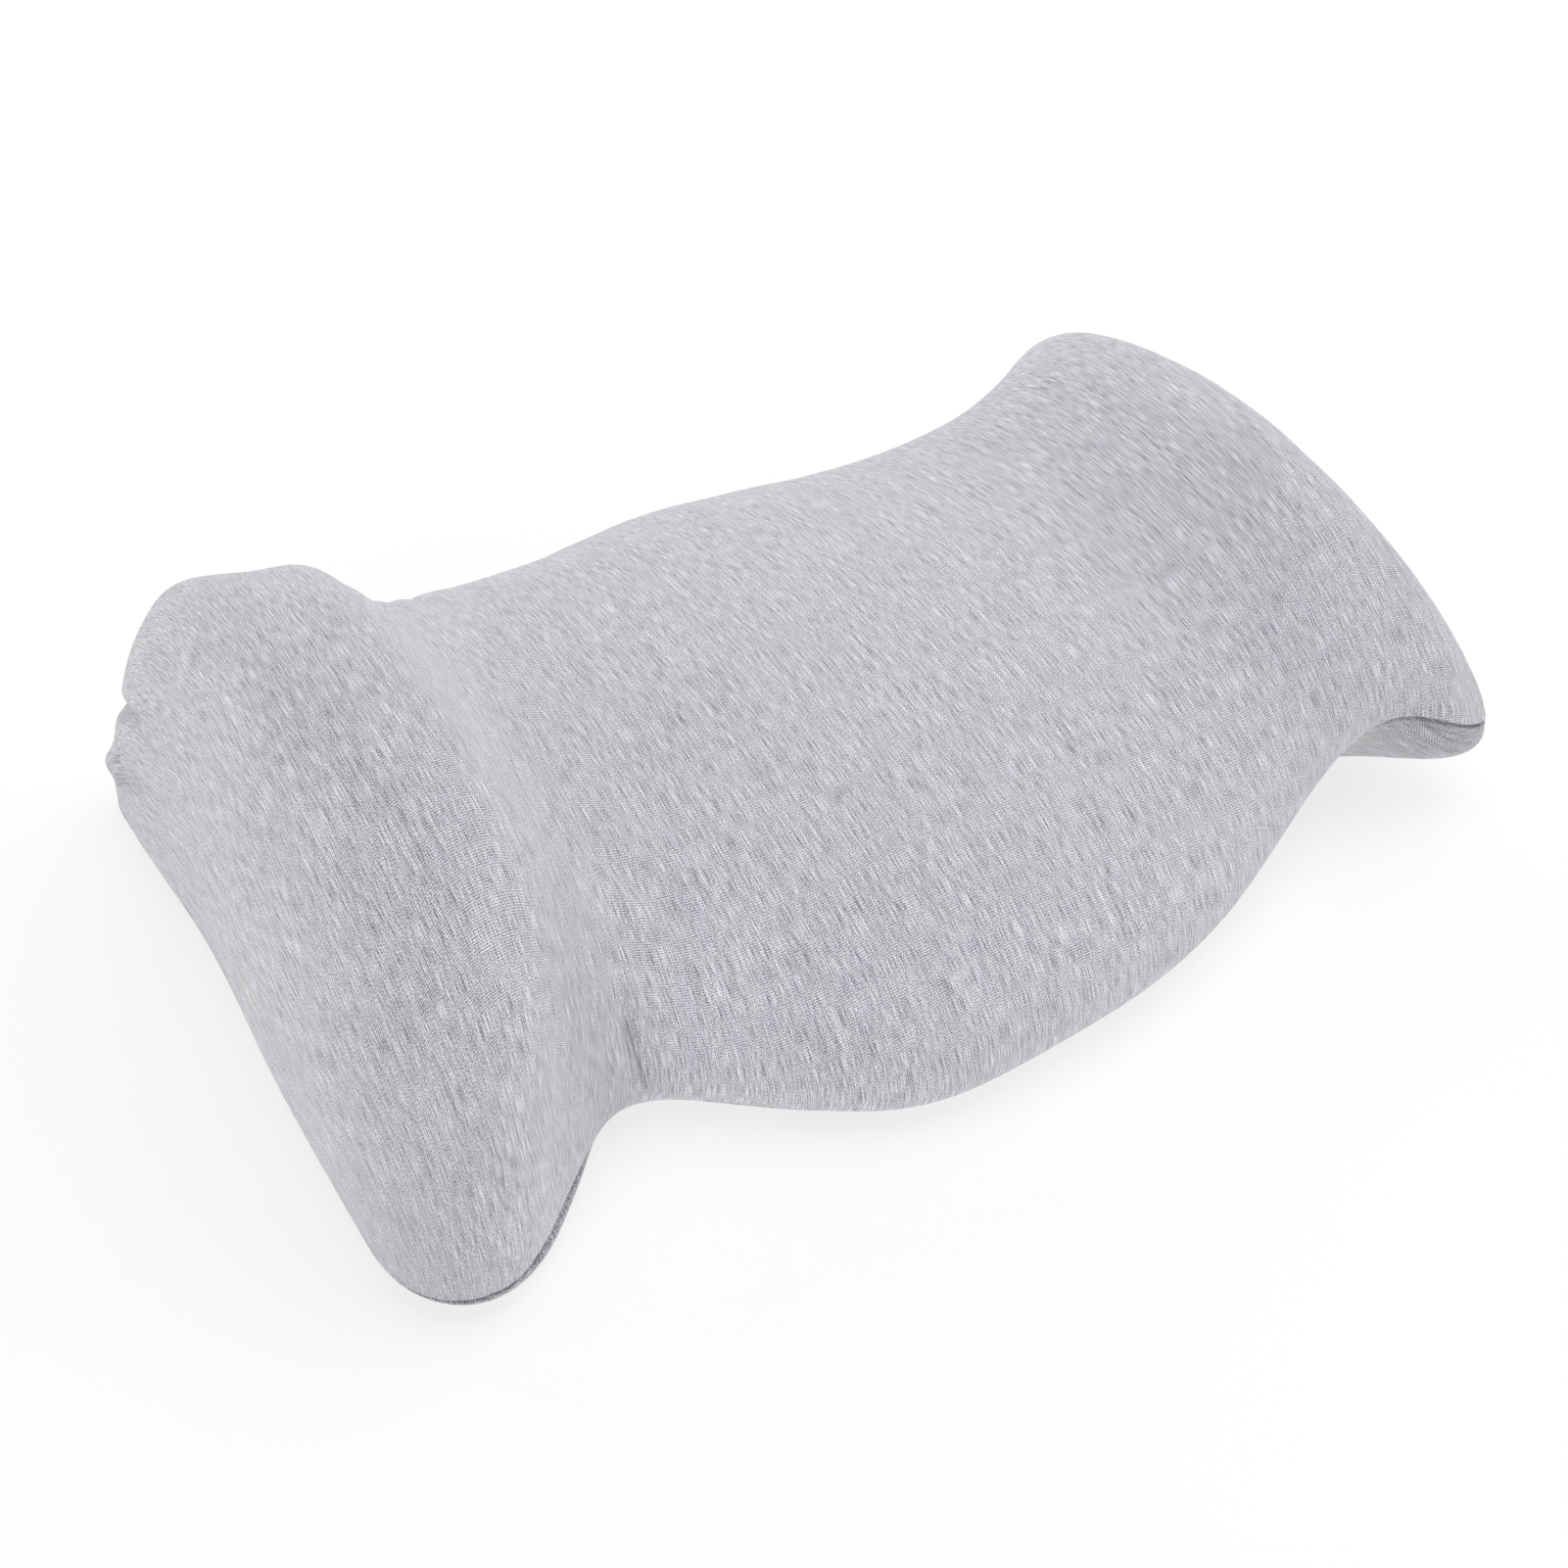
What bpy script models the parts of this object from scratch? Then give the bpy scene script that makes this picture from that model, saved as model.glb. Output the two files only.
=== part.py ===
"""A lumbar pillow: one filled cushion with two raised end wings, two necks and a low crowned middle.

+X runs along the pillow, +Y across it toward the back and +Z up. It lies on its back on Z = 0.
A top panel and a base panel meet in a seam that runs all the way round.
"""

import bpy
import numpy as np

MM = 0.001

# Driving dimensions, in millimetres.
LENGTH = 450
FLAT_MARGIN = 60  # from the seam in to the flat part of the base
CORNER_LEFT = (36, 34)  # the corner radius of the left wing, at the front and at the back
CORNER_RIGHT = (26, 38)
SHOULDER_LEFT = 38  # from the end of the wing in to where its outer side starts to fall
SHOULDER_RIGHT = 50
CROWN_POWER = 2.1  # how full the crown is across the width: 2 is an ellipse, more is squarer

# The shape at places along the length, in millimetres.
# front and back: from the middle line to the seam. crest: the height of the top.
# seam: the height of the seam. over and under: how far each panel swells out past the seam.
# full: added to the power of the crown.
COLUMNS = ("x", "front", "back", "crest", "seam", "over", "under", "full")
STATIONS = (
    (-225, 154, 139, 146, 13, 3, 2, 0.1),
    (-195, 151, 132, 151, 12, 3, 2, 0.1),
    (-168, 131, 124, 153, 11, 5, 2, 0.4),
    (-135, 102, 118, 121, 9, 9, 0, 0.8),
    (-105, 115, 124, 98, 9, 9, 0, 0.4),
    (-52, 147, 131, 90, 9, 9, 0, 0.0),
    (0, 152, 136, 89, 10, 9, 0, 0.0),
    (52, 146, 133, 85, 10, 9, 0, 0.0),
    (105, 126, 125, 82, 13, 9, 0, 0.1),
    (140, 107, 118, 92, 20, 9, 0, 0.3),
    (168, 104, 120, 107, 38, 4, 3, 0.2),
    (188, 114, 127, 113, 46, 2, 6, 0.0),
    (205, 129, 134, 116, 42, 2, 7, 0.0),
    (225, 136, 140, 118, 36, 2, 7, 0.0),
)

# Soft creases in the top panel: both ends on the plan, how deep and how wide, in millimetres.
CREASES = (
    # x0, y0, x1, y1, depth, width
    (-128, -30, -84, -76, 2.2, 11),
    (-136, -80, -112, -112, 3.0, 11),
)

# Steps of the mesh along the length and across it.
STEPS_ALONG = 56
STEPS_ACROSS = 26

JERSEY_COLOUR = (0.53, 0.53, 0.57, 1.0)
JERSEY_ROUGHNESS = 0.9


def station(name, x):
    """A smooth curve through one column of the stations."""
    table = np.array(STATIONS, float)
    xs, values = table[:, 0], table[:, COLUMNS.index(name)]
    slopes = np.gradient(values, xs)
    i = np.clip(np.searchsorted(xs, x) - 1, 0, len(xs) - 2)
    gap = xs[i + 1] - xs[i]
    t = (x - xs[i]) / gap
    start = values[i] * (1 + 2 * t) * (1 - t) ** 2 + slopes[i] * gap * t * (1 - t) ** 2
    end = values[i + 1] * (3 - 2 * t) * t**2 - slopes[i + 1] * gap * (1 - t) * t**2
    return start + end


def seam_distance(x, v):
    """From the middle line to the seam, with the corners of the wings rounded."""
    width = np.where(v < 0, station("front", x), station("back", x))
    left = np.where(v < 0, CORNER_LEFT[0], CORNER_LEFT[1])
    right = np.where(v < 0, CORNER_RIGHT[0], CORNER_RIGHT[1])
    corner = np.where(x < 0, left, right)
    past = np.clip((abs(x) - LENGTH / 2 + corner) / corner, 0, 1)
    return width - corner * (1 - np.sqrt(1 - past**2))


def outward(x, v, margin):
    """The direction on the plan that points out of the pillow, and 0 in its middle."""
    toward_end = np.clip((abs(x) - LENGTH / 2 + margin) / margin, 0, 1) ** 4
    toward_side = abs(v) ** 4
    size = np.hypot(toward_end, toward_side) + 1e-6
    return np.sign(x) * toward_end / size, np.sign(v) * toward_side / size


def crease_depth(x, y):
    """How far the creases press the top panel down."""
    depth = 0
    for x0, y0, x1, y1, deep, wide in CREASES:
        along_x, along_y = x1 - x0, y1 - y0
        reach = (x - x0) * along_x + (y - y0) * along_y
        t = np.clip(reach / (along_x**2 + along_y**2), 0, 1)
        off = np.hypot(x - x0 - t * along_x, y - y0 - t * along_y)
        depth = depth + deep * np.exp(-((off / wide) ** 2))
    return depth


def top_points(x, v):
    """Points of the top panel; v runs from -1 at the front seam to 1 at the back seam."""
    power = CROWN_POWER + station("full", x)
    across = np.clip(1 - abs(v) ** power, 0, 1) ** (1 / power)
    shoulder = np.where(x < 0, SHOULDER_LEFT, SHOULDER_RIGHT)
    past = np.clip((abs(x) - LENGTH / 2 + shoulder) / shoulder, 0, 1)
    rise = across * np.sqrt(1 - past**2)
    seam = station("seam", x)
    y = v * seam_distance(x, v)
    z = seam + (station("crest", x) - seam) * rise - crease_depth(x, y) * rise
    out_x, out_y = outward(x, v, shoulder)
    swell = station("over", x) * np.sin(np.pi * np.sqrt(np.clip(rise, 0, 1)))
    return np.stack([x + out_x * swell, y + out_y * swell, z], -1)


def base_points(x, v):
    """Points of the base panel, flat in its middle and curled up to the seam."""
    distance = seam_distance(x, v)
    y = v * distance
    side = np.clip(1 - (distance - abs(y)) / FLAT_MARGIN, 0, 1)
    end = np.clip(1 - (LENGTH / 2 - abs(x)) / FLAT_MARGIN, 0, 1)
    fall = np.sqrt((1 - side**2) * (1 - end**2))
    z = station("seam", x) * (1 - fall)
    out_x, out_y = outward(x, v, FLAT_MARGIN)
    swell = station("under", x) * np.sin(np.pi * fall)
    return np.stack([x + out_x * swell, y + out_y * swell, z], -1)


def spread(steps):
    """Numbers from -1 to 1, closer together toward both ends."""
    return np.sin(np.linspace(-1, 1, steps + 1) * np.pi / 2)


def grid_faces(numbers, flip):
    """The four-sided faces between the points of a grid of vertex numbers."""
    faces = []
    for i in range(len(numbers) - 1):
        for j in range(len(numbers[0]) - 1):
            face = [numbers[i][j], numbers[i + 1][j], numbers[i + 1][j + 1], numbers[i][j + 1]]
            faces.append(face[::-1] if flip else face)
    return faces


def pillow_mesh():
    """The points and faces of the whole cushion; both panels share the points of the seam."""
    u, v = np.meshgrid(spread(STEPS_ALONG), spread(STEPS_ACROSS), indexing="ij")
    x = u * LENGTH / 2
    top, base = top_points(x, v), base_points(x, v)
    points, top_numbers, base_numbers = [], [], []
    for i in range(STEPS_ALONG + 1):
        top_numbers.append([])
        base_numbers.append([])
        for j in range(STEPS_ACROSS + 1):
            on_seam = i in (0, STEPS_ALONG) or j in (0, STEPS_ACROSS)
            top_numbers[i].append(len(points))
            points.append(top[i, j])
            if not on_seam:
                base_numbers[i].append(len(points))
                points.append(base[i, j])
            else:
                base_numbers[i].append(top_numbers[i][j])
    faces = grid_faces(top_numbers, False) + grid_faces(base_numbers, True)
    return np.array(points), faces


def on_the_floor(points):
    """The points in metres, with the middle of the box over the origin and the lowest at 0."""
    low, high = points.min(0), points.max(0)
    shift = np.array([(low[0] + high[0]) / 2, (low[1] + high[1]) / 2, low[2]])
    return (points - shift) * MM


def jersey():
    """Pale grey heather jersey."""
    material = bpy.data.materials.new("jersey")
    material.use_nodes = True
    shader = material.node_tree.nodes["Principled BSDF"]
    shader.inputs["Base Color"].default_value = JERSEY_COLOUR
    shader.inputs["Roughness"].default_value = JERSEY_ROUGHNESS
    shader.inputs["Metallic"].default_value = 0.0
    return material


def add_pillow():
    """The cushion as one closed solid."""
    points, faces = pillow_mesh()
    mesh = bpy.data.meshes.new("pillow")
    mesh.from_pydata(on_the_floor(points).tolist(), [], faces)
    mesh.materials.append(jersey())
    mesh.shade_smooth()
    pillow = bpy.data.objects.new("pillow", mesh)
    bpy.context.scene.collection.objects.link(pillow)
    return pillow


for old in list(bpy.data.objects):
    bpy.data.objects.remove(old)
add_pillow()
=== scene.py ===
"""The look of the lumbar pillow: a heather jersey cover, sewn from a top and a base panel.

The cover's sizes are in millimetres in the part's own design frame, and place_points() sets them on
the CAD box. x runs along the pillow from its left wing, y to the back and z up.
"""

import math

import bpy
import numpy as np
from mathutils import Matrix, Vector, noise


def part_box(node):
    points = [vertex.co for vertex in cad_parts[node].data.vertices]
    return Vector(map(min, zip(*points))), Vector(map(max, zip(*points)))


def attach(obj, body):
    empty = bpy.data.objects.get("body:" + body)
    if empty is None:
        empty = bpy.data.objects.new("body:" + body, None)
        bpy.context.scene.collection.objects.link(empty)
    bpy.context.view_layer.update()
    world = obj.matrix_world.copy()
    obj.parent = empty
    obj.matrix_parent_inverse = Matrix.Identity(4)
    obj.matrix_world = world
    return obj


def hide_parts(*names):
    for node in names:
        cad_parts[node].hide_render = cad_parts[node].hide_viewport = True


MM = 0.001

# Driving dimensions of the cover, in millimetres. They and STATIONS follow the photographed pillow a
# little more closely than the part's.
LENGTH = 450
FLAT_MARGIN = 60  # from the seam in to the flat part of the base
PART_MIDDLE = (0.3, -8.0)  # the middle of the part's box on the plan, in the design frame
CORNER_LEFT = (54, 34)  # the corner radius of the left wing, at the front and at the back
CORNER_RIGHT = (26, 38)
SHOULDER_LEFT = (52, 34)  # from the end of the wing in to where its outer side starts to fall
SHOULDER_RIGHT = (50, 50)
OUTWARD_POWER = 4  # how late the swell turns from the side to the end

# The left end is drawn in: how deep and how far in along the pillow, in millimetres, then the place
# and the width of the hollow as shares of the way from the middle line to the seam.
HOLLOW_DEPTH = 4.2
HOLLOW_REACH = 60
HOLLOW_PLACE = 0.30
HOLLOW_WIDTH = 0.45

# Sections across the cushion, from the left wing to the right one. "front" and "back" run from the
# middle line to the seam, "crest" and "seam" are heights, "over" and "under" say how far the top and
# the base panel swell past the seam. "full_front" and "full_back" square the crown. "rim_front" and
# "rim_back" say how the top comes down at the seam: 0.5 stands upright and 1 runs out in a slope.
COLUMNS = (
    "x", "front", "back", "crest", "seam", "over", "under",
    "full_front", "full_back", "rim_front", "rim_back",
)
STATIONS = (
    (-225, 166, 147, 138, 10, 2, 2, 2.7, 2.1, 0.60, 0.46),
    (-195, 152, 138, 151, 11, 2, 4, 2.1, 2.2, 0.46, 0.41),
    (-168, 131, 123, 154, 11, 2, 3, 3.5, 2.0, 0.33, 0.39),
    (-152, 115, 121, 148, 10, 4, 2, 3.6, 2.0, 0.33, 0.38),
    (-135, 100, 121, 123, 8, 8, 0, 2.6, 2.2, 0.36, 0.40),
    (-105, 110, 129, 98, 8, 8, 2, 1.8, 2.6, 0.46, 0.47),
    (-52, 143, 135, 87, 6, 9, 2, 1.7, 2.6, 0.44, 0.48),
    (0, 148, 143, 85, 7, 9, 1, 2.1, 2.1, 0.40, 0.46),
    (52, 143, 137, 81, 9, 9, 1, 2.2, 1.9, 0.41, 0.42),
    (105, 126, 128, 79, 13, 9, 0, 2.4, 1.8, 0.45, 0.41),
    (140, 113, 118, 87, 25, 7, -5, 2.0, 2.4, 0.48, 0.40),
    (168, 110, 122, 105, 43, 4, -6, 1.8, 2.9, 0.60, 0.58),
    (188, 115, 134, 114, 48, 2, 4, 1.9, 2.5, 0.68, 0.66),
    (205, 126, 139, 116, 44, 2, 9, 2.3, 1.9, 0.75, 0.72),
    (225, 134, 141, 118, 36, 2, 8, 3.0, 1.8, 0.68, 0.66),
)

# Rows of the mesh: the first step in from the seam, its growth and the widest step, in degrees.
ROWS_ALONG = (0.12, 1.10, 0.60)
ROWS_ACROSS = (0.35, 1.12, 1.50)
NECK_ROWS = (-134, -116, 0.5)  # from one x to another and the step, for the neck's narrow folds

# The sewn seam, in millimetres.
GROOVE_DEPTH = 1.3
GROOVE_WIDTH = 0.7
LIP_RISE = 0.5
LIP_OFFSET = 1.6
LIP_WIDTH = 0.9
WAIST_SHARE = 0.35  # how much of the groove and the lip is left between the wings
WAIST_END = 105  # so far from the middle they start to grow
WING_START = 165  # and so far from it they are whole

# Folds in the top panel, each from one place to another: x0, v0, x1, v1, depth and width. The depth is
# below 0 for a ridge, and v is as in top_points(). The rest is in millimetres.
FOLDS = (
    (-127, -0.925, -123, -0.998, 3.2, 1.2),
    (-124, -0.935, -121, -0.998, -1.2, 1.3),
    (-130, -0.930, -126, -0.996, 1.8, 1.3),
    (-134, -0.950, -137, -0.995, 0.8, 3.5),
    (-119, -0.430, -90, -0.850, 1.1, 4.5),
    (-119, -0.600, -98, -0.900, -0.7, 4.5),
    (-122, -0.700, -104, -0.960, 1.0, 4.0),
    (-112, -0.400, -84, -0.800, -0.5, 6.0),
    (-202, -0.965, -194, -0.999, 1.4, 2.2),
    (-209, 0.975, -217, 0.640, 4.0, 3.6),
    (-218, 0.995, -222, 0.860, -3.2, 5.0),
    (-223, 0.930, -222, 0.660, 3.2, 3.6),
    (-152, 0.300, -154, 0.950, 1.0, 4.0),
    (-132, 0.450, -133, 0.960, 2.6, 3.2),
    (-121, 0.500, -119, 0.960, 2.4, 3.0),
    (-109, 0.550, -106, 0.960, 2.0, 3.0),
    (-93, 0.450, -84, 0.850, 0.8, 5.0),
)

FOLD_LIFT = 10  # how far the cloth may arch over a fold's straight line, in millimetres

# Slow unevenness of the filling, in millimetres: how high and how far apart.
LUMPS = ((0.9, 60), (0.35, 22))
LUMPS_FADE = 12  # within about so much of the seam they fade out

# Knitted jersey, in millimetres on the cloth: how wide a ridge is, and how large the spots of each
# noise are along and across the ridges. Their third number sets the two panels apart.
RIDGE_PITCH = 0.88
SWAY_SPOTS = (14, 30, 1)
SWAY_SHARE = 0.35
STITCH_SPOTS = (0.26, RIDGE_PITCH * 0.5, 1)
FINE_SPOTS = (0.26, 7.5, 1)
LONG_SPOTS = (0.50, 32, 1)
PATCH_SPOTS = (6, 60, 1)
TINT_SPOTS = (7, 55, 1)
BUMP_HEIGHT = 0.12

# The heather's greys, and a slow change over them from a plain grey to a bluish one: each stop's
# place and its colour.
GREYS = (
    (0.10, (0.10, 0.10, 0.12)),
    (0.38, (0.36, 0.36, 0.39)),
    (0.55, (0.58, 0.58, 0.62)),
    (0.90, (0.96, 0.96, 0.98)),
)
TINTS = ((0.2, (1.008, 1.0, 1.008)), (0.8, (1.008, 0.991, 1.036)))

# The base panel is cut across the cloth. Its colour is darkened as painted shade, for an underside
# that faces down, away from the lamps.
BASE_PANEL = 1  # its number; the top panel's is 0
BASE_PAINTED_SHADE = (0.79, 0.79, 0.78, 1.0)

# The photographed view, in metres and degrees.
CAMERA_AIM = (-0.0272, -0.0235, 0.05)
CAMERA_DISTANCE = 0.8805
CAMERA_AZIMUTH = -30.644
CAMERA_ELEVATION = 43.778
CAMERA_LENS = 57.29  # in millimetres, as the sensor is
SENSOR_WIDTH = 36

# The studio, in metres.
FLOOR_SIZE = 12
FLOOR_DROP = 0.0002  # under the cushion's base, so that the two faces don't lie in one plane
FLOOR_GREYS = (0.277, 0.283)
FLOOR_GLOW = 0.70  # the floor's own light, and how light a camera sees the surround
SURROUND_LIGHT = 0.02  # what the surround adds to the lamps

# Soft boxes, all square and equally far from the middle: azimuth, elevation and power in watts.
LAMP_DISTANCE = 2.2
LAMP_SIDE = 1.8
LAMPS = (
    (45, 15, 16),
    (315, 15, 30),
    (225, 15, 12),
    (180, 15, 28),
    (90, 45, 22),
    (140, 40, 8),
    (0, 90, 20),
)


# ---------------------------------------------------------------- the shape of the cover


def even_slopes(xs, values):
    """The slopes at the sections for which a curve through them bends without a jump."""
    gaps, rises = np.diff(xs), np.diff(values)
    matrix, right = np.zeros((len(xs), len(xs))), np.zeros(len(xs))
    matrix[0, :2] = 2, 1
    matrix[-1, -2:] = 1, 2
    right[0] = 3 * rises[0] / gaps[0]
    right[-1] = 3 * rises[-1] / gaps[-1]
    for i in range(1, len(xs) - 1):
        matrix[i, i - 1 : i + 2] = 1 / gaps[i - 1], 2 / gaps[i - 1] + 2 / gaps[i], 1 / gaps[i]
        right[i] = 3 * (rises[i - 1] / gaps[i - 1] ** 2 + rises[i] / gaps[i] ** 2)
    return np.linalg.solve(matrix, right)


def station(name, x):
    """The value of one column of STATIONS at x, on a smooth curve through the sections."""
    table = np.array(STATIONS, float)
    xs, values = table[:, 0], table[:, COLUMNS.index(name)]
    slopes = even_slopes(xs, values)
    i = np.clip(np.searchsorted(xs, x) - 1, 0, len(xs) - 2)
    gap = xs[i + 1] - xs[i]
    t = (x - xs[i]) / gap
    start = values[i] * (1 + 2 * t) * (1 - t) ** 2 + slopes[i] * gap * t * (1 - t) ** 2
    end = values[i + 1] * (3 - 2 * t) * t**2 - slopes[i + 1] * gap * (1 - t) * t**2
    return start + end


def seam_distance(x, v):
    """From the middle line out to the seam, with its round corners."""
    width = np.where(v < 0, station("front", x), station("back", x))
    left = np.where(v < 0, CORNER_LEFT[0], CORNER_LEFT[1])
    right = np.where(v < 0, CORNER_RIGHT[0], CORNER_RIGHT[1])
    corner = np.where(x < 0, left, right)
    past = np.clip((abs(x) - LENGTH / 2 + corner) / corner, 0, 1)
    return width - corner * (1 - np.sqrt(1 - past**2))


def outward(x, v, margin):
    """The level direction out of the nearest side or end."""
    toward_end = np.clip((abs(x) - LENGTH / 2 + margin) / margin, 0, 1) ** OUTWARD_POWER
    toward_side = abs(v) ** OUTWARD_POWER
    size = np.maximum(np.hypot(toward_end, toward_side), 1e-6)
    return np.sign(x) * toward_end / size, np.sign(v) * toward_side / size


def hollow(x, v):
    """How far the left end is drawn in."""
    near_end = np.clip((HOLLOW_REACH - LENGTH / 2 - x) / HOLLOW_REACH, 0, 1)
    return HOLLOW_DEPTH * near_end**2 * np.exp(-(((v - HOLLOW_PLACE) / HOLLOW_WIDTH) ** 2))


def top_points(x, v):
    """Points of the top panel; v runs from -1 at the front seam to 1 at the back seam."""
    power = np.where(v < 0, station("full_front", x), station("full_back", x))
    rim = np.where(v < 0, station("rim_front", x), station("rim_back", x))
    across = np.clip(1 - abs(v) ** power, 0, 1) ** rim
    left = SHOULDER_LEFT[0] + (SHOULDER_LEFT[1] - SHOULDER_LEFT[0]) * (v + 1) / 2
    right = SHOULDER_RIGHT[0] + (SHOULDER_RIGHT[1] - SHOULDER_RIGHT[0]) * (v + 1) / 2
    shoulder = np.where(x < 0, left, right)
    past = np.clip((abs(x) - LENGTH / 2 + shoulder) / shoulder, 0, 1)
    rise = across * np.sqrt(1 - past**2)
    seam = station("seam", x)
    y = v * seam_distance(x, v)
    z = seam + (station("crest", x) - seam) * rise
    out_x, out_y = outward(x, v, shoulder)
    swell = station("over", x) * np.sin(np.pi * np.sqrt(np.clip(rise, 0, 1)))
    return np.stack([x + out_x * swell + hollow(x, v), y + out_y * swell, z], -1)


def base_points(x, v):
    """Points of the base panel, flat in its middle and curled up to the seam."""
    distance = seam_distance(x, v)
    y = v * distance
    side = np.clip(1 - (distance - abs(y)) / FLAT_MARGIN, 0, 1)
    end = np.clip(1 - (LENGTH / 2 - abs(x)) / FLAT_MARGIN, 0, 1)
    fall = np.sqrt((1 - side**2) * (1 - end**2))
    z = station("seam", x) * (1 - fall)
    out_x, out_y = outward(x, v, FLAT_MARGIN)
    swell = station("under", x) * np.sin(np.pi * fall)
    return np.stack([x + out_x * swell + hollow(x, v), y + out_y * swell, z], -1)


# ---------------------------------------------------------------- seam, folds and unevenness


def rows(first, growth, widest):
    """Numbers from -1 to 1, very close together at both ends, where the seam is."""
    angles, step = [0.0], first
    while angles[-1] + step < 90:
        angles.append(angles[-1] + step)
        step = min(step * growth, widest)
    angles = np.array(angles + [90.0])
    half = np.cos(np.radians(angles))
    half[-1] = 0
    return np.concatenate([-half, half[-2::-1]])


def rows_along():
    """The rows along the pillow, closer together at the left neck."""
    u = rows(*ROWS_ALONG)
    start, end, step = (size / (LENGTH / 2) for size in NECK_ROWS)
    return np.concatenate([u[u < start], np.arange(start, end, step), u[u > end]])


def run_along(points, axis):
    """How far each point of a panel is from the panel's first edge, along the cloth."""
    steps = np.linalg.norm(np.diff(points, axis=axis), axis=-1)
    start = np.zeros_like(np.take(steps, [0], axis=axis))
    return np.concatenate([start, np.cumsum(steps, axis=axis)], axis=axis)


def from_seam(points):
    """How far each point of a panel is from the nearest seam, along the cloth."""
    along, across = run_along(points, 0), run_along(points, 1)
    to_end = np.minimum(along, along[-1:] - along)
    to_side = np.minimum(across, across[:, -1:] - across)
    return np.minimum(to_end, to_side)


def cloth_places(points):
    """Each point's place on the flat cloth, measured from the panel's middle: along and across."""
    along, across = run_along(points, 0), run_along(points, 1)
    middle_row, middle_column = points.shape[0] // 2, points.shape[1] // 2
    along = along - along[middle_row]
    section = (along[:, 0] + along[:, middle_column] + along[:, -1]) / 3
    return np.tile(section[:, None], points.shape[1]), across - across[:, middle_column, None]


def outward_normals(points, side):
    """Unit normals of a panel; side is 1 for the top and -1 for the base."""
    normals = side * np.cross(np.gradient(points, axis=0), np.gradient(points, axis=1))
    size = np.linalg.norm(normals, axis=-1, keepdims=True)
    return normals / np.maximum(size, 1e-9)


def sewn(distance, x):
    """How far the cloth stands out near the seam: in at the stitches, with a soft lip beside them."""
    groove = np.exp(-((distance / GROOVE_WIDTH) ** 2))
    lip = np.exp(-(((distance - LIP_OFFSET) / LIP_WIDTH) ** 2))
    in_wing = np.clip((abs(x) - WAIST_END) / (WING_START - WAIST_END), 0, 1)
    return (LIP_RISE * lip - GROOVE_DEPTH * groove) * (WAIST_SHARE + (1 - WAIST_SHARE) * in_wing)


def folded(points, normals, x, v):
    """How far the cloth stands out at the folds, which is below 0 in a trough."""
    out = np.zeros(x.shape)
    for x0, v0, x1, v1, depth, width in FOLDS:
        start = points[abs(x[:, 0] - x0).argmin(), abs(v[0] - v0).argmin()]
        run = points[abs(x[:, 0] - x1).argmin(), abs(v[0] - v1).argmin()] - start
        t = np.clip((points - start) @ run / (run @ run), 0, 1)
        away = points - start - t[..., None] * run
        # The fold follows the cloth where it arches over the straight line between the two places.
        lift = np.clip((away * normals).sum(-1), -FOLD_LIFT, FOLD_LIFT)
        off = np.linalg.norm(away - lift[..., None] * normals, axis=-1)
        out -= depth * (1 - (2 * t - 1) ** 4) * np.exp(-((off / width) ** 2))
    return out


def lumps(points):
    """The slow unevenness of a filled cushion."""
    flat = points.reshape(-1, 3)
    out = np.zeros(len(flat))
    for height, spacing in LUMPS:
        out += [height * noise.noise(Vector(p / spacing)) for p in flat]
    return out.reshape(points.shape[:-1])


# ---------------------------------------------------------------- the cover's mesh


def dressed(points, side, x, v):
    """A panel's points with its seam, folds and unevenness."""
    normals = outward_normals(points, side)
    distance = from_seam(points)
    inside = 1 - np.exp(-((distance / LUMPS_FADE) ** 2))
    out = sewn(distance, x)
    if side > 0:
        out = out + folded(points, normals, x, v) + lumps(points) * inside
    return points + normals * out[..., None]


def vertex_numbers(shape):
    """Vertex numbers of the two panels' grids; the base panel takes the top's numbers on the seam."""
    top = np.arange(shape[0] * shape[1]).reshape(shape)
    base = top.copy()
    inner = (shape[0] - 2, shape[1] - 2)
    base[1:-1, 1:-1] = top.size + np.arange(inner[0] * inner[1]).reshape(inner)
    return top, base


def grid_faces(numbers, flip):
    """The four-sided faces between the points of a grid of vertex numbers."""
    faces = np.stack([numbers[:-1, :-1], numbers[1:, :-1], numbers[1:, 1:], numbers[:-1, 1:]], -1)
    faces = faces.reshape(-1, 4)
    return faces[:, ::-1] if flip else faces


def place_points(points):
    """The points in metres, set on the middle and the floor of the CAD box."""
    low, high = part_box("pillow")
    middle = np.array([(low.x + high.x) / 2, (low.y + high.y) / 2, low.z])
    return (points - [*PART_MIDDLE, 0]) * MM + middle


def joined_points(top, base):
    """The points of both panels in one list, with the seam's points once, halfway between the two."""
    on_seam = np.ones(top.shape[:2], bool)
    on_seam[1:-1, 1:-1] = False
    top = np.where(on_seam[..., None], (top + base) / 2, top)
    return np.concatenate([top.reshape(-1, 3), base[1:-1, 1:-1].reshape(-1, 3)])


def corner_places(panel, number, numbers, faces):
    """The cloth's own coordinates at a panel's face corners: along, across and the panel's number."""
    along, across = cloth_places(panel)
    if number == BASE_PANEL:
        along, across = across, along
    by_vertex = np.zeros((numbers.max() + 1, 3))
    by_vertex[numbers] = np.stack([along, across, np.full(along.shape, float(number))], -1)
    return by_vertex[faces]


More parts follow.
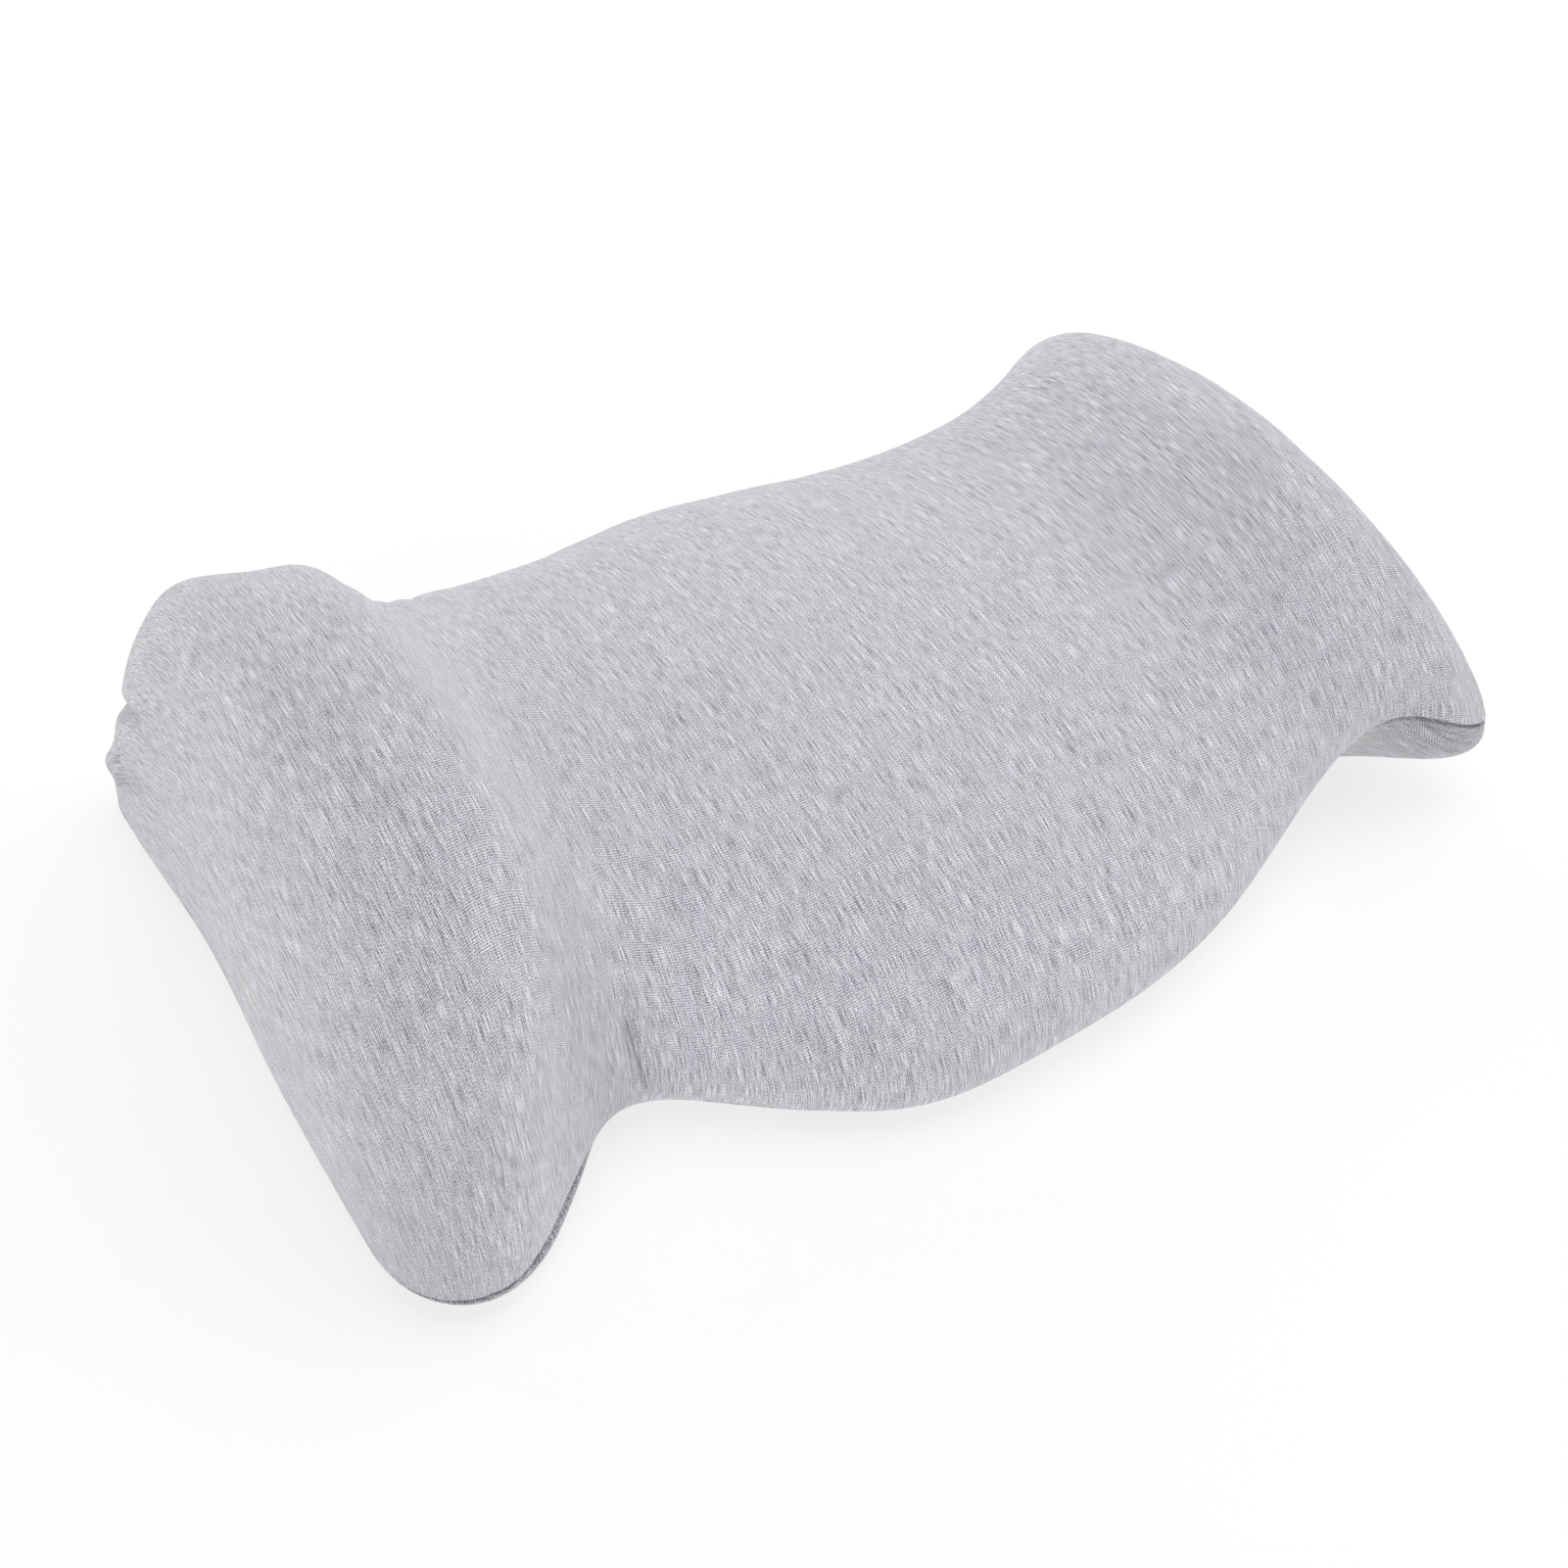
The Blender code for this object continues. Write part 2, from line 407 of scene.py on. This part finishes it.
def cover_mesh():
    """The whole cover as one closed mesh; both panels share the points of the seam."""
    u, v = np.meshgrid(rows_along(), rows(*ROWS_ACROSS), indexing="ij")
    x = u * LENGTH / 2
    panels = top_points(x, v), base_points(x, v)
    points = joined_points(dressed(panels[0], 1, x, v), dressed(panels[1], -1, x, v))
    numbers = vertex_numbers(x.shape)
    faces = grid_faces(numbers[0], False), grid_faces(numbers[1], True)
    mesh = bpy.data.meshes.new("pillow_cover")
    mesh.from_pydata(place_points(points).tolist(), [], np.concatenate(faces).tolist())
    mesh.shade_smooth()
    corners = [corner_places(panels[i], i, numbers[i], faces[i]) for i in (0, 1)]
    attribute = mesh.attributes.new("cloth", "FLOAT_VECTOR", "CORNER")
    attribute.data.foreach_set("vector", np.concatenate(corners).astype(np.float32).ravel())
    return mesh


# ---------------------------------------------------------------- materials


class Tree:
    """Short ways to add and join the nodes of one material."""

    def __init__(self, material):
        material.use_nodes = True
        self.nodes = material.node_tree.nodes
        self.links = material.node_tree.links

    def put(self, socket, value):
        """Links a socket to the value's, or sets it to a plain value."""
        if isinstance(value, bpy.types.NodeSocket):
            self.links.new(value, socket)
        else:
            socket.default_value = value

    def math(self, operation, first, second=0.0):
        node = self.nodes.new("ShaderNodeMath")
        node.operation = operation
        self.put(node.inputs[0], first)
        self.put(node.inputs[1], second)
        return node.outputs[0]

    def divide(self, vector, sizes):
        node = self.nodes.new("ShaderNodeVectorMath")
        node.operation = "DIVIDE"
        self.put(node.inputs[0], vector)
        self.put(node.inputs[1], sizes)
        return node.outputs[0]

    def noise(self, vector, sizes, detail=2.0, roughness=0.5):
        """Noise from about -1 to 1 whose spots are as large as sizes, in the vector's units."""
        node = self.nodes.new("ShaderNodeTexNoise")
        node.inputs["Scale"].default_value = 1.0
        node.inputs["Detail"].default_value = detail
        node.inputs["Roughness"].default_value = roughness
        self.put(node.inputs["Vector"], self.divide(vector, sizes))
        centred = self.math("SUBTRACT", node.outputs["Fac"], 0.5)
        return self.math("MULTIPLY", centred, 2.0)

    def blend(self, share, first, second, way="MIX"):
        node = self.nodes.new("ShaderNodeMix")
        node.data_type = "RGBA"
        node.blend_type = way
        # Its colour sockets are the inputs 6 and 7 and the output 2.
        self.put(node.inputs[0], share)
        self.put(node.inputs[6], first)
        self.put(node.inputs[7], second)
        return node.outputs[2]

    def ramp(self, value, stops):
        """Colours along a value: each stop is its place from 0 to 1 and its colour."""
        node = self.nodes.new("ShaderNodeValToRGB")
        elements = node.color_ramp.elements
        while len(elements) < len(stops):
            elements.new(0.5)
        for element, (position, colour) in zip(elements, stops):
            element.position = position
            element.color = (*colour, 1.0)
        self.put(node.inputs[0], value)
        return node.outputs[0]

    def bump(self, height, distance):
        node = self.nodes.new("ShaderNodeBump")
        node.inputs["Distance"].default_value = distance
        self.put(node.inputs["Height"], height)
        return node.outputs[0]


def jersey():
    """Pale grey heather jersey: fine ridges along the cushion, and fibres of two greys across it."""
    material = bpy.data.materials.new("heather_jersey")
    tree = Tree(material)
    cloth = tree.nodes.new("ShaderNodeAttribute")
    cloth.attribute_name = "cloth"
    place = cloth.outputs["Vector"]
    split = tree.nodes.new("ShaderNodeSeparateXYZ")
    tree.put(split.inputs[0], place)
    # The ridges: one is a row of loops, RIDGE_PITCH wide, and sways a little.
    sway = tree.math("MULTIPLY", tree.noise(place, SWAY_SPOTS), SWAY_SHARE)
    turns = tree.math("ADD", tree.math("DIVIDE", split.outputs[1], RIDGE_PITCH), sway)
    wave = tree.math("SINE", tree.math("MULTIPLY", turns, 2 * math.pi))
    stitches = tree.noise(place, STITCH_SPOTS, 0.0)
    # The heather: short fine streaks, longer ones and slow patches, each with its share.
    fine = tree.noise(place, FINE_SPOTS, 1.0)
    long = tree.noise(place, LONG_SPOTS, 1.0)
    patches = tree.noise(place, PATCH_SPOTS)
    parts = ((wave, 0.13), (stitches, 0.68), (fine, 0.56), (long, 0.24), (patches, 0.05))
    value = 0.5
    for part, share in parts:
        value = tree.math("ADD", tree.math("MULTIPLY", part, share), value)
    colour = tree.ramp(value, GREYS)
    tint = tree.math("ADD", tree.math("MULTIPLY", tree.noise(place, TINT_SPOTS, 1.0), 1.6), 0.5)
    colour = tree.blend(1.0, colour, tree.ramp(tint, TINTS), "MULTIPLY")
    # Painted shade: the base panel's colour is darkened, as if it lay in shade.
    base_painted_shade_colour = tree.blend(1.0, colour, BASE_PAINTED_SHADE, "MULTIPLY")
    colour = tree.blend(split.outputs[2], colour, base_painted_shade_colour)
    shader = tree.nodes["Principled BSDF"]
    tree.put(shader.inputs["Base Color"], colour)
    shader.inputs["Roughness"].default_value = 0.92
    shader.inputs["Specular IOR Level"].default_value = 0.15
    shader.inputs["Sheen Weight"].default_value = 0.5
    shader.inputs["Sheen Roughness"].default_value = 0.5
    height = tree.math("ADD", tree.math("MULTIPLY", wave, 0.3), stitches)
    height = tree.math("ADD", height, tree.math("MULTIPLY", fine, 0.6))
    tree.put(shader.inputs["Normal"], tree.bump(height, BUMP_HEIGHT * MM))
    return material


def floor_paper():
    """A plain pale studio floor."""
    material = bpy.data.materials.new("floor_paper")
    tree = Tree(material)
    place = tree.nodes.new("ShaderNodeNewGeometry").outputs["Position"]
    grain = tree.math("ADD", tree.math("MULTIPLY", tree.noise(place, (0.3, 0.3, 0.3)), 0.5), 0.5)
    shader = tree.nodes["Principled BSDF"]
    stops = [(i, (grey,) * 3) for i, grey in enumerate(FLOOR_GREYS)]
    tree.put(shader.inputs["Base Color"], tree.ramp(grain, stops))
    shader.inputs["Roughness"].default_value = 0.9
    shader.inputs["Specular IOR Level"].default_value = 0.1
    shader.inputs["Emission Color"].default_value = (1.0, 1.0, 1.0, 1.0)
    shader.inputs["Emission Strength"].default_value = FLOOR_GLOW
    return material


# ---------------------------------------------------------------- the scene


def link(thing):
    """Puts a new object in the scene."""
    bpy.context.scene.collection.objects.link(thing)
    return thing


def add_cover():
    """The cover in its jersey."""
    mesh = cover_mesh()
    mesh.materials.append(jersey())
    return link(bpy.data.objects.new("pillow_cover", mesh))


def add_floor():
    """One large square just under the cushion."""
    half = FLOOR_SIZE / 2
    corners = [(-half, -half), (half, -half), (half, half), (-half, half)]
    mesh = bpy.data.meshes.new("floor")
    mesh.from_pydata([(x, y, -FLOOR_DROP) for x, y in corners], [], [(0, 1, 2, 3)])
    mesh.materials.append(floor_paper())
    return link(bpy.data.objects.new("floor", mesh))


def direction(azimuth, elevation):
    """The unit vector from the object toward a viewer or a lamp; azimuth 0 is the front."""
    a, e = math.radians(azimuth), math.radians(elevation)
    return Vector((math.sin(a) * math.cos(e), -math.cos(a) * math.cos(e), math.sin(e)))


def turned(thing, back):
    """Turns a camera or a lamp so that it looks along -back."""
    thing.rotation_mode = "QUATERNION"
    thing.rotation_quaternion = (-back).to_track_quat("-Z", "Y")
    return thing


def add_camera():
    """The camera at the photographed angle."""
    data = bpy.data.cameras.new("camera")
    data.lens = CAMERA_LENS
    data.sensor_width = SENSOR_WIDTH
    camera = link(bpy.data.objects.new("camera", data))
    back = direction(CAMERA_AZIMUTH, CAMERA_ELEVATION)
    camera.location = Vector(CAMERA_AIM) + back * CAMERA_DISTANCE
    bpy.context.scene.camera = turned(camera, back)


def add_lamps():
    """The soft boxes, each facing the middle of the floor."""
    for number, (azimuth, elevation, power) in enumerate(LAMPS):
        data = bpy.data.lights.new(f"soft_box_{number}", "AREA")
        data.shape = "SQUARE"
        data.size = LAMP_SIDE
        data.energy = power
        lamp = link(bpy.data.objects.new(f"soft_box_{number}", data))
        back = direction(azimuth, elevation)
        lamp.location = back * LAMP_DISTANCE
        turned(lamp, back)


def add_surround():
    """A dim surround, which a camera sees as pale as the far floor, so that no dark edge shows."""
    world = bpy.data.worlds.new("surround")
    world.use_nodes = True
    nodes, links = world.node_tree.nodes, world.node_tree.links
    strength = nodes.new("ShaderNodeMapRange")
    strength.inputs["To Min"].default_value = SURROUND_LIGHT
    strength.inputs["To Max"].default_value = FLOOR_GLOW
    links.new(nodes.new("ShaderNodeLightPath").outputs["Is Camera Ray"], strength.inputs["Value"])
    background = nodes["Background"]
    background.inputs["Color"].default_value = (1.0, 1.0, 1.0, 1.0)
    links.new(strength.outputs["Result"], background.inputs["Strength"])
    bpy.context.scene.world = world


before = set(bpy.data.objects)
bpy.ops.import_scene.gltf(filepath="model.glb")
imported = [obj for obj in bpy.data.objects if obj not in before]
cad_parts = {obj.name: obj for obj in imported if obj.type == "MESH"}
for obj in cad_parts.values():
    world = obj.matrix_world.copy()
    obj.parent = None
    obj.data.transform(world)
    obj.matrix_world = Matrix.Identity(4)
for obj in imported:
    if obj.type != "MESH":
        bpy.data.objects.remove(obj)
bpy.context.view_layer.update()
bpy.context.scene.view_settings.view_transform = "Standard"
cover = add_cover()
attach(cover, "root")
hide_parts("pillow")
add_floor()
add_camera()
add_lamps()
add_surround()
